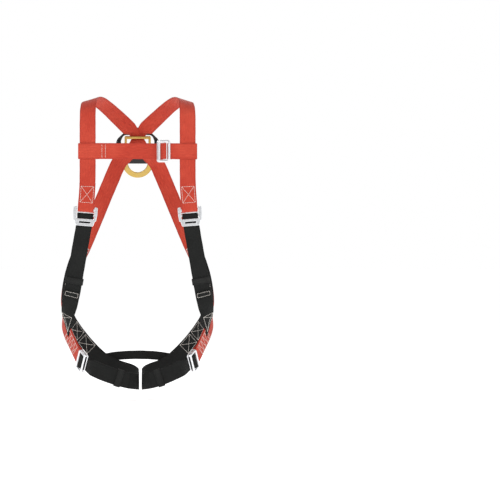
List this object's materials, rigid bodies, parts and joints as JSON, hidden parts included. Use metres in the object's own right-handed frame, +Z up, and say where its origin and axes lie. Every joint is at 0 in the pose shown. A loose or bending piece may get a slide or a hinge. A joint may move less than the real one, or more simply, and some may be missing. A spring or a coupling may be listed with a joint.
{
  "type": "full-body safety harness",
  "caption": "Full-body fall-arrest harness in worn shape, with shoulder, chest, torso and leg straps, metal adjusters and buckles, and a hinged dorsal ring.",
  "frame": {"origin": "on the middle line at the height of the top of the wearer's shoulders, in the plane of the shoulder tops", "axes": "+Z up; the wearer faces -Y, and +X is the wearer's left"},
  "size_m": [0.4356, 0.2533, 0.8309],
  "materials": {
    "webbing_red": "woven polyester webbing, orange red",
    "webbing_black": "woven polyester webbing, black twill",
    "elastic": "ribbed woven elastic, black",
    "thread": "off-white sewing thread",
    "mark_ink": "black printed marks",
    "steel": "bright zinc-plated pressed steel",
    "zinc_yellow": "yellow zinc-plated forged steel",
    "plate_plastic": "moulded black plastic"
  },
  "bodies": {
    "harness": {"shoulder_strap_left": "webbing_red", "shoulder_strap_right": "webbing_red", "adjuster_bar_left": "steel", "adjuster_bar_right": "steel", "torso_strap_left": "webbing_black", "torso_strap_right": "webbing_black", "hip_backing_left": "webbing_black", "hip_backing_right": "webbing_black", "leg_strap_left": "webbing_black", "leg_strap_right": "webbing_black", "leg_tail_left": "webbing_black", "leg_tail_right": "webbing_black", "leg_buckle_frame_left": "steel", "leg_buckle_frame_right": "steel", "seat_strap": "webbing_black", "dorsal_plate": "plate_plastic"},
    "dorsal_ring": {"dorsal_ring": "zinc_yellow"},
    "chest_strap": {"chest_strap_left": "webbing_red", "chest_strap_right": "webbing_red", "chest_buckle_frame": "steel"},
    "chest_plate": {"chest_buckle_plate": "steel", "chest_buckle_loop": "webbing_red"},
    "torso_adjuster_left": {"torso_adjuster_left": "steel"},
    "torso_keeper_left": {"torso_keeper_left": "elastic"},
    "leg_keeper_left": {"leg_keeper_left": "elastic"},
    "leg_plate_left": {"leg_buckle_plate_left": "steel", "leg_buckle_loop_left": "webbing_black"},
    "torso_adjuster_right": {"torso_adjuster_right": "steel"},
    "torso_keeper_right": {"torso_keeper_right": "elastic"},
    "leg_keeper_right": {"leg_keeper_right": "elastic"},
    "leg_plate_right": {"leg_buckle_plate_right": "steel", "leg_buckle_loop_right": "webbing_black"}
  },
  "joints": [
    {"name": "dorsal_ring_swing", "type": "hinge", "parent": "harness", "child": "dorsal_ring", "pos_m": [0, 0.104, -0.109], "axis": [1, 0, 0], "range_deg": [0, 95]},
    {"name": "chest_strap_slide", "type": "slide", "parent": "harness", "child": "chest_strap", "axis": [0, 0.04, 0.9992], "range_m": [-0.05, 0.02]},
    {"name": "chest_plate_tilt", "type": "hinge", "parent": "chest_strap", "child": "chest_plate", "pos_m": [0.0598, -0.11392, -0.15795], "axis": [0, -0.04, -0.9992], "range_deg": [0, 45]},
    {"name": "torso_adjuster_tilt_left", "type": "hinge", "parent": "harness", "child": "torso_adjuster_left", "pos_m": [0.14501, -0.1111, -0.32217], "axis": [-0.9969, -0.0016, -0.0786], "range_deg": [0, 25]},
    {"name": "torso_keeper_slide_left", "type": "slide", "parent": "harness", "child": "torso_keeper_left", "axis": [0.1634, 0.1585, -0.9737], "range_m": [-0.02, 0.01]},
    {"name": "leg_keeper_slide_left", "type": "slide", "parent": "harness", "child": "leg_keeper_left", "axis": [-0.9329, 0.1375, -0.3328], "range_m": [-0.01, 0.008]},
    {"name": "leg_plate_tilt_left", "type": "hinge", "parent": "harness", "child": "leg_plate_left", "pos_m": [0.14957, -0.10078, -0.75171], "axis": [0.2151, 0.513, -0.831], "range_deg": [0, 45]},
    {"name": "torso_adjuster_tilt_right", "type": "hinge", "parent": "harness", "child": "torso_adjuster_right", "pos_m": [-0.14501, -0.1111, -0.32217], "axis": [-0.9969, 0.0016, 0.0786], "range_deg": [0, 25]},
    {"name": "torso_keeper_slide_right", "type": "slide", "parent": "harness", "child": "torso_keeper_right", "axis": [-0.1634, 0.1585, -0.9737], "range_m": [-0.02, 0.01]},
    {"name": "leg_keeper_slide_right", "type": "slide", "parent": "harness", "child": "leg_keeper_right", "axis": [0.9486, 0.1209, -0.2925], "range_m": [-0.01, 0.008]},
    {"name": "leg_plate_tilt_right", "type": "hinge", "parent": "harness", "child": "leg_plate_right", "pos_m": [-0.14957, -0.10078, -0.75171], "axis": [0.2151, -0.513, 0.831], "range_deg": [0, 45]}
  ]
}
